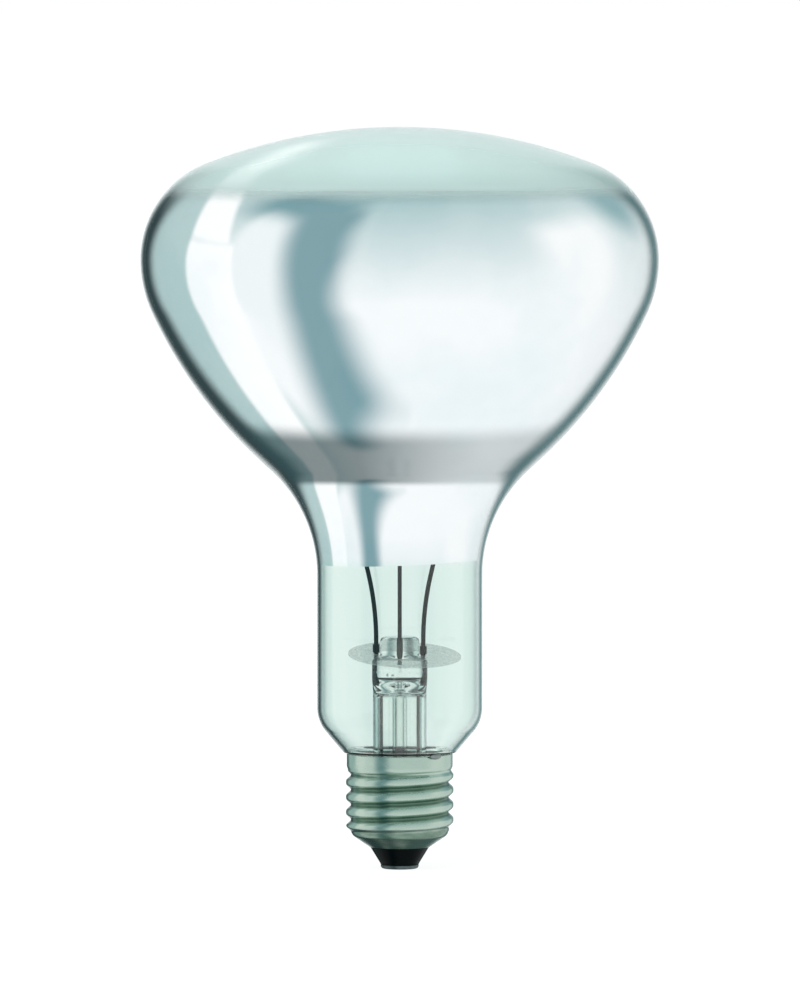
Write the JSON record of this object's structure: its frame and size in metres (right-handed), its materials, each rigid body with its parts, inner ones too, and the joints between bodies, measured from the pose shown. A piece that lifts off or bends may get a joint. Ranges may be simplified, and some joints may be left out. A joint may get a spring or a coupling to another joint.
{
  "type": "reflector heat lamp",
  "caption": "Screw-in filament reflector lamp for heat: wide mirrored bulb with a clear front dome, clear neck showing the glass stem and leads, and a threaded metal cap.",
  "frame": {"origin": "centre of the flat lower face of the centre contact", "axes": "+Z along the lamp's axis from the contact to the dome; -Y towards the viewer of the picture; +X to the viewer's right"},
  "size_m": [0.1254, 0.1254, 0.1798],
  "materials": {
    "bulb_glass": "clear blown glass with a faint green tint",
    "mirror_film": "bright metal film on the inside of the glass",
    "stem_glass": "clear glass with small bubbles in the pinch",
    "lead_wire": "dark drawn wire",
    "seal_wire": "dark wire set in glass",
    "outer_lead": "thin tinned copper wire",
    "support_wire": "fine drawn wire",
    "filament_wire": "coiled grey wire",
    "mica": "milky translucent mica sheet",
    "collar_metal": "dark small sleeve",
    "cap_metal": "rolled sheet, half bright",
    "black_glass": "glossy black moulded glass",
    "contact_metal": "dull plated plate",
    "solder": "smooth bright solder",
    "cement": "dry pale cement"
  },
  "bodies": {
    "root": {"glass_bulb": "bulb_glass", "glass_throat": "bulb_glass", "glass_neck": "bulb_glass", "mirror_coating": "mirror_film", "glass_stem": "stem_glass", "exhaust_tube": "stem_glass", "inner_lead_left": "lead_wire", "inner_lead_right": "lead_wire", "seal_wire_left": "seal_wire", "seal_wire_right": "seal_wire", "outer_lead_centre": "outer_lead", "outer_lead_side": "outer_lead", "support_rod": "lead_wire", "support_hook_1": "support_wire", "support_hook_2": "support_wire", "support_hook_3": "support_wire", "filament": "filament_wire", "heat_shield_disc": "mica", "disc_collar_left": "collar_metal", "disc_collar_right": "collar_metal", "screw_shell": "cap_metal", "cap_insulator": "black_glass", "centre_contact": "contact_metal", "centre_solder": "solder", "side_solder": "solder", "cap_cement": "cement"}
  },
  "joints": []
}
